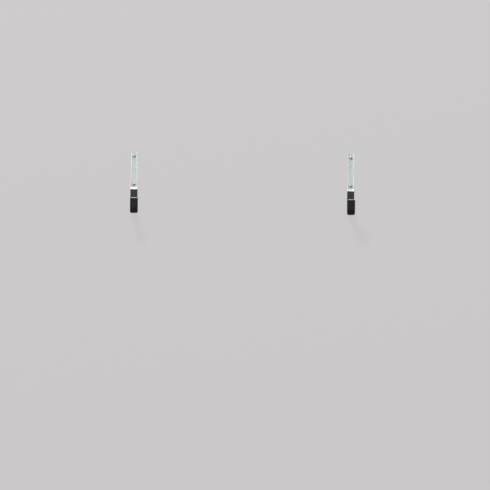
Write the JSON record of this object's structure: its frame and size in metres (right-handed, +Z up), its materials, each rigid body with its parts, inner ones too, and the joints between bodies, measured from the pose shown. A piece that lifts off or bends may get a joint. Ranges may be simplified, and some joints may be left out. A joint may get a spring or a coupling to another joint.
{
  "type": "wall hook rack",
  "caption": "Pair of bent steel channel wall hooks with soft black sleeves, screwed to a wall to carry a ladder lying on its side.",
  "frame": {"origin": "on the wall's surface, midway between the four screws of the two hooks", "axes": "+X right along the wall from the left hook to the right one, +Y into the wall, +Z up; the hooks stand out towards -Y"},
  "size_m": [0.8964, 0.2037, 0.2432],
  "materials": {
    "zinc_strip": "bright zinc plate",
    "black_sleeve": "soft matte",
    "zinc_screw": "bright zinc plate",
    "grey_nylon": "moulded"
  },
  "bodies": {
    "root": {"left_hook_strip": "zinc_strip", "left_sleeve": "black_sleeve", "left_upper_screw": "zinc_screw", "left_upper_wall_plug": "grey_nylon", "left_lower_screw": "zinc_screw", "left_lower_wall_plug": "grey_nylon", "right_hook_strip": "zinc_strip", "right_sleeve": "black_sleeve", "right_upper_screw": "zinc_screw", "right_upper_wall_plug": "grey_nylon", "right_lower_screw": "zinc_screw", "right_lower_wall_plug": "grey_nylon"}
  },
  "joints": []
}
